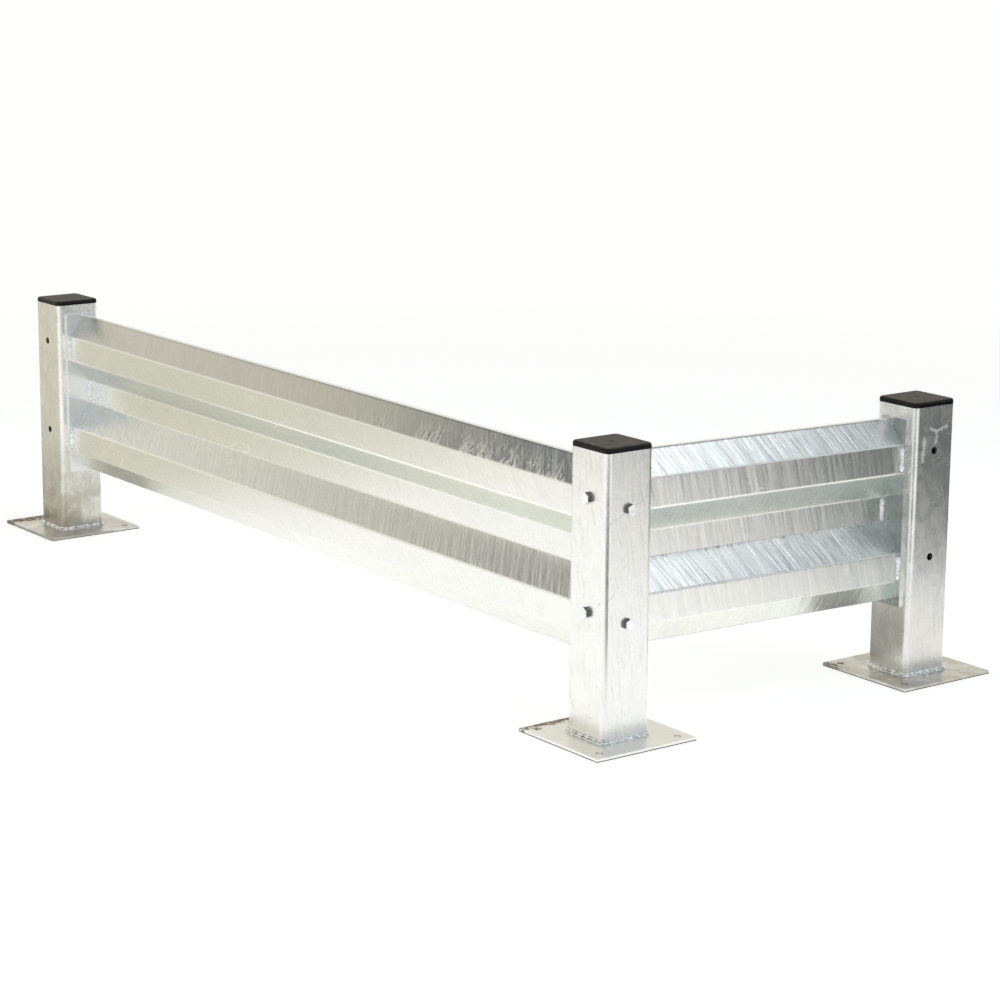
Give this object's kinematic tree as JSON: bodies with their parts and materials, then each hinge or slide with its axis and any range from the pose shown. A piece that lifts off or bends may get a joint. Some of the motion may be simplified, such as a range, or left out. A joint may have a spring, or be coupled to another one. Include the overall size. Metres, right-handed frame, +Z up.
{
  "type": "heavy-duty safety barrier",
  "caption": "Free-standing galvanised impact barrier: folded W-section beams bolted between capped square posts on base plates, set out in an L with a long and a short bay.",
  "frame": {"origin": "on the floor under the middle of the corner post", "axes": "+Z up; the long bay runs along -X and the short bay along +Y; the beams' fronts face -Y and +X"},
  "size_m": [2.126, 0.926, 0.5155],
  "materials": {
    "galvanised_steel": "hot-dip galvanised, streaked and mottled",
    "galvanised_sheet": "hot-dip galvanised sheet with slanting streaks",
    "weld_metal": "galvanised weld bead",
    "zinc_fastener": "zinc-plated hexagon fasteners",
    "black_plastic": "moulded black plastic with a satin top"
  },
  "bodies": {
    "root": {"corner_post": "galvanised_steel", "corner_base_plate": "galvanised_steel", "corner_foot_weld": "weld_metal", "corner_cap": "black_plastic", "long_end_post": "galvanised_steel", "long_end_base_plate": "galvanised_steel", "long_end_foot_weld": "weld_metal", "long_end_cap": "black_plastic", "short_end_post": "galvanised_steel", "short_end_base_plate": "galvanised_steel", "short_end_foot_weld": "weld_metal", "short_end_cap": "black_plastic", "long_beam": "galvanised_sheet", "short_beam": "galvanised_sheet", "long_inner_end_plate": "galvanised_steel", "long_inner_end_weld": "weld_metal", "long_inner_washers": "zinc_fastener", "long_outer_end_plate": "galvanised_steel", "long_outer_end_weld": "weld_metal", "long_outer_washers": "zinc_fastener", "short_outer_end_plate": "galvanised_steel", "short_outer_end_weld": "weld_metal", "short_outer_washers": "zinc_fastener", "short_inner_end_plate": "galvanised_steel", "short_inner_end_weld": "weld_metal", "short_inner_washers": "zinc_fastener", "long_inner_upper_bolt": "zinc_fastener", "long_inner_upper_nut": "zinc_fastener", "long_inner_lower_bolt": "zinc_fastener", "long_inner_lower_nut": "zinc_fastener", "long_outer_upper_bolt": "zinc_fastener", "long_outer_upper_nut": "zinc_fastener", "long_outer_lower_bolt": "zinc_fastener", "long_outer_lower_nut": "zinc_fastener", "short_outer_upper_bolt": "zinc_fastener", "short_outer_upper_nut": "zinc_fastener", "short_outer_lower_bolt": "zinc_fastener", "short_outer_lower_nut": "zinc_fastener", "short_inner_upper_bolt": "zinc_fastener", "short_inner_upper_nut": "zinc_fastener", "short_inner_lower_bolt": "zinc_fastener", "short_inner_lower_nut": "zinc_fastener"}
  },
  "joints": []
}
